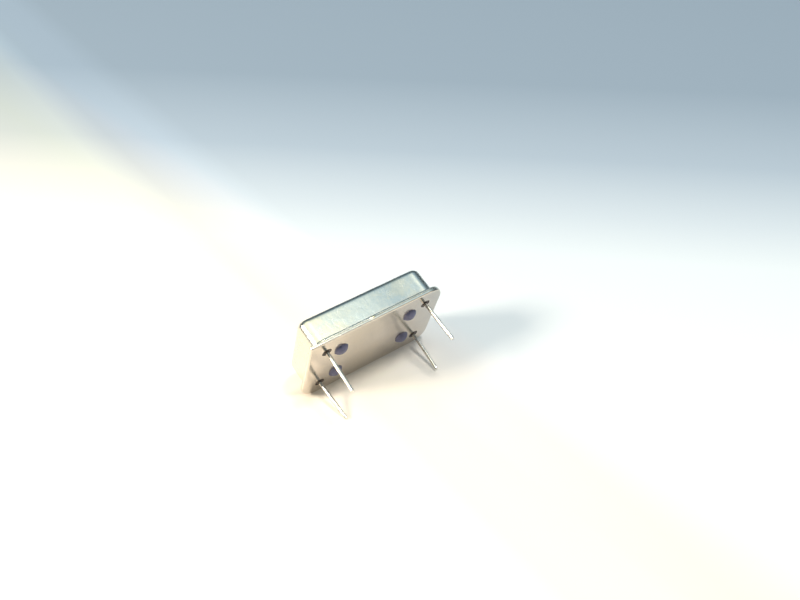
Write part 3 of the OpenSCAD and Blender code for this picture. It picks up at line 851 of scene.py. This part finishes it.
# ---- Circuit substrate ----------------------------------------------------------------------
# A plate of fired white alumina that the four leads pass through, with tracks of
# silver-palladium ink printed and fired on it, and solder joints that hold it to the leads.


def paint(material, *nodes):
    """Gives this material to CAD nodes that keep the shape they were packed with."""
    for node in nodes:
        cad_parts[node].material_slots[0].material = material


alumina, *_ = fired("alumina", light=(0.86, 0.86, 0.83), dark=(0.77, 0.76, 0.73), smoothest=0.5,
                    roughest=0.62, cloud=900.0, mottle=9000.0, depth=0.006 * MM)
paint(alumina, "ceramic_substrate")
printed_ink = plated("silver_palladium", light=(0.74, 0.68, 0.54), dark=(0.60, 0.55, 0.45),
                     tarnish=(0.48, 0.42, 0.34), wear_and_highlight=(0.80, 0.76, 0.64), smoothest=0.38, roughest=0.52,
                     cloud=1500.0, mottle=12000.0, depth=0.005 * MM)
paint(printed_ink, "conductor_tracks")
solder = plated("solder", light=(0.70, 0.70, 0.71), dark=(0.52, 0.52, 0.54), tarnish=(0.46, 0.45, 0.44),
                wear_and_highlight=(0.78, 0.78, 0.79), smoothest=0.22, roughest=0.42, cloud=1800.0, mottle=7000.0,
                depth=0.01 * MM)
paint(solder, *(f"solder_joint_{n}" for n in LEADS))

# ---- Quartz crystal -------------------------------------------------------------------------
# A round blank of lapped quartz with a silver electrode fired on its middle. Two gold-plated
# spring clips carry it, and dots of silver-filled cement hold it in them.
ELECTRODE_R = 2.1 * MM
ELECTRODE_SILVER = (0.62, 0.62, 0.63)
PAINT_EDGE = 0.03 * MM

quartz, tree, shader, colour = fired("lapped_quartz", light=(0.94, 0.96, 0.96), dark=(0.86, 0.90, 0.90),
                                     smoothest=0.25, roughest=0.40, cloud=1200.0, mottle=9000.0,
                                     depth=0.003 * MM, IOR=1.54, Transmission_Weight=0.9)
low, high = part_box("quartz_blank")
electrode = near_spot(tree, (low + high) / 2, ELECTRODE_R, ELECTRODE_R - PAINT_EDGE)
tree.links.new(over(tree, electrode, colour, ELECTRODE_SILVER), shader.inputs["Base Color"])
paint(quartz, "quartz_blank")
gold_plate = plated("gold_plate", light=(0.86, 0.68, 0.34), dark=(0.74, 0.56, 0.27),
                    tarnish=(0.62, 0.48, 0.28), wear_and_highlight=(0.92, 0.78, 0.46), smoothest=0.2, roughest=0.34,
                    cloud=1400.0, mottle=8000.0, share=0.3, depth=0.004 * MM)
paint(gold_plate, "crystal_clip_left", "crystal_clip_right")
cement, *_ = fired("silver_cement", light=(0.52, 0.52, 0.52), dark=(0.28, 0.28, 0.29), smoothest=0.45,
                   roughest=0.7, cloud=3000.0, mottle=15000.0, depth=0.02 * MM)
paint(cement, "cement_dot_left", "cement_dot_right")

# ---- Oscillator chip ------------------------------------------------------------------------
# A bare die of polished silicon whose circuit blocks show as small panes of blue and violet,
# joined to the tracks by drawn gold wire about the width of a hair.
silicon, tree, shader, colour = fired("silicon_die", light=(0.10, 0.12, 0.17), dark=(0.05, 0.06, 0.09),
                                      smoothest=0.12, roughest=0.2, cloud=2500.0, mottle=12000.0,
                                      depth=0.001 * MM)
blocks = add(tree, "TexBrick", Vector=here(tree), Scale=1800.0, Color1=colour,
             Color2=(0.17, 0.13, 0.22, 1), Mortar=(0.42, 0.42, 0.44, 1), Mortar_Size=0.04)
tree.links.new(blocks.outputs["Color"], shader.inputs["Base Color"])
paint(silicon, "oscillator_chip")
gold_wire = plated("gold_wire", light=(0.90, 0.72, 0.34), dark=(0.80, 0.62, 0.28),
                   tarnish=(0.70, 0.55, 0.30), wear_and_highlight=(0.95, 0.80, 0.46), smoothest=0.14, roughest=0.24,
                   cloud=2500.0, mottle=12000.0, share=0.2, depth=0.001 * MM)
paint(gold_wire, "bond_wires")

# ---- Chip parts -----------------------------------------------------------------------------
# Three capacitors of fired brown ceramic and a resistor under black glaze, with tinned ends
# soldered to the tracks.
CAP_TIN = (0.72, 0.71, 0.68)


def chip_part(node, run, cap, light, dark):
    """A small soldered part: a fired body with tinned caps of that length at its two ends."""
    made, tree, shader, colour = fired(node, light, dark, smoothest=0.3, roughest=0.5, cloud=1800.0,
                                       mottle=9000.0, depth=0.006 * MM)
    low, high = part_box(node)
    starts = [(way, way.dot(end) - cap) for way, end in ((run, high), (-run, low))]
    ends = [along_line(tree, way, start, start + PAINT_EDGE) for way, start in starts]
    caps = reckon(tree, "MAXIMUM", *ends)
    tree.links.new(over(tree, caps, colour, CAP_TIN), shader.inputs["Base Color"])
    tree.links.new(caps, shader.inputs["Metallic"])
    paint(made, node)


brown_ceramic = ((0.58, 0.41, 0.26), (0.46, 0.31, 0.19))
black_glaze = ((0.05, 0.05, 0.055), (0.025, 0.025, 0.028))
chip_part("bypass_capacitor", along, 0.35 * MM, *brown_ceramic)
chip_part("load_capacitor_in", across, 0.2 * MM, *brown_ceramic)
chip_part("load_capacitor_out", across, 0.2 * MM, *brown_ceramic)
chip_part("enable_resistor", along, 0.25 * MM, *black_glaze)
